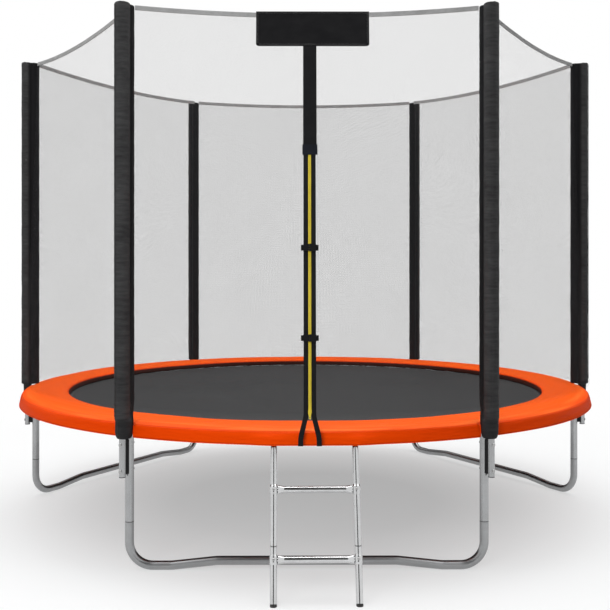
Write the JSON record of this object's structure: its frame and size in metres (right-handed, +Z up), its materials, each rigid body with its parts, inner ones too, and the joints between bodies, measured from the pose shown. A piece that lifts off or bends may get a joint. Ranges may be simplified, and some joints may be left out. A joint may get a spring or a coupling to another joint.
{
  "type": "trampoline",
  "caption": "Round garden trampoline with a sprung mat, padded rim, net walls on padded poles, a zipped door and a hook-on ladder.",
  "frame": {"origin": "on the ground, in the middle of the footprint that the frame, the net and the ladder take together", "axes": "+Z up, -Y towards the door and the ladder, +X to the right when facing the door"},
  "size_m": [3.176, 3.3196, 2.408],
  "materials": {
    "galvanised_steel": "bright zinc-coated tube with a soft lengthways sheen",
    "spring_steel": "zinc-plated spring wire",
    "zinc_bolts": "zinc-plated bolts and nuts",
    "zip_metal": "dark plated metal",
    "sleeve_cloth": "dark coated cloth, stitched in tubes",
    "foam": "closed-cell foam",
    "mat_fabric": "woven polypropylene with a doubled, stitched edge",
    "pad_cover": "orange coated cloth, padded over the springs, with a hanging skirt",
    "net_mesh": "fine knitted black mesh",
    "panel_cloth": "black coated cloth with a stitched border",
    "webbing": "black woven tape",
    "black_plastic": "moulded black plastic",
    "black_rubber": "moulded rubber foot"
  },
  "bodies": {
    "frame": {"top_rail_1": "galvanised_steel", "top_rail_2": "galvanised_steel", "top_rail_3": "galvanised_steel", "top_rail_4": "galvanised_steel", "top_rail_5": "galvanised_steel", "top_rail_6": "galvanised_steel", "leg_base_front": "galvanised_steel", "leg_base_right": "galvanised_steel", "leg_base_left": "galvanised_steel", "leg_post_1": "galvanised_steel", "leg_post_2": "galvanised_steel", "leg_post_3": "galvanised_steel", "leg_post_4": "galvanised_steel", "leg_post_5": "galvanised_steel", "leg_post_6": "galvanised_steel", "pole_lower_1": "galvanised_steel", "pole_lower_2": "galvanised_steel", "pole_lower_3": "galvanised_steel", "pole_lower_4": "galvanised_steel", "pole_lower_5": "galvanised_steel", "pole_lower_6": "galvanised_steel", "pole_upper_1": "galvanised_steel", "pole_upper_2": "galvanised_steel", "pole_upper_3": "galvanised_steel", "pole_upper_4": "galvanised_steel", "pole_upper_5": "galvanised_steel", "pole_upper_6": "galvanised_steel", "pole_sleeve_1": "sleeve_cloth", "pole_sleeve_2": "sleeve_cloth", "pole_sleeve_3": "sleeve_cloth", "pole_sleeve_4": "sleeve_cloth", "pole_sleeve_5": "sleeve_cloth", "pole_sleeve_6": "sleeve_cloth", "pole_foam": "foam", "pole_spacers": "black_plastic", "pole_fasteners": "zinc_bolts", "pole_caps": "black_plastic", "springs": "spring_steel", "safety_pad": "pad_cover", "net_panel_1": "net_mesh", "net_panel_2": "net_mesh", "net_panel_3": "net_mesh", "net_panel_4": "net_mesh", "net_panel_6": "net_mesh", "net_door": "net_mesh", "door_panel": "panel_cloth", "door_flap": "webbing", "zip_tapes": "webbing", "buckle_catches": "black_plastic"},
    "mat": {"jump_mat": "mat_fabric", "mat_links": "galvanised_steel"},
    "zip_slider": {"zip_slider": "zip_metal"},
    "lower_tongue": {"buckle_tongue_lower": "black_plastic"},
    "upper_tongue": {"buckle_tongue_upper": "black_plastic"},
    "ladder": {"ladder_rail_left": "galvanised_steel", "ladder_rail_right": "galvanised_steel", "ladder_rung_lower": "galvanised_steel", "ladder_rung_upper": "galvanised_steel", "ladder_feet": "black_rubber", "ladder_bolts": "zinc_bolts"}
  },
  "joints": [
    {"name": "mat_bounce", "type": "slide", "parent": "frame", "child": "mat", "axis": [0, 0, -1], "range_m": [0, 0.3], "stiffness_N_per_m": 4500, "springref_m": -0.05, "deforming": ["springs"]},
    {"name": "zip_travel", "type": "slide", "parent": "frame", "child": "zip_slider", "axis": [0, 0.1419, 0.9899], "range_m": [0, 1.02]},
    {"name": "lower_buckle_release", "type": "slide", "parent": "frame", "child": "lower_tongue", "axis": [-1, 0, 0], "range_m": [0, 0.03]},
    {"name": "upper_buckle_release", "type": "slide", "parent": "frame", "child": "upper_tongue", "axis": [-1, 0, 0], "range_m": [0, 0.03]},
    {"name": "ladder_swing", "type": "hinge", "parent": "frame", "child": "ladder", "pos_m": [0.02874, -1.39398, 0.596], "axis": [-0.9998, -0.0192, 0], "range_deg": [0, 14]}
  ]
}
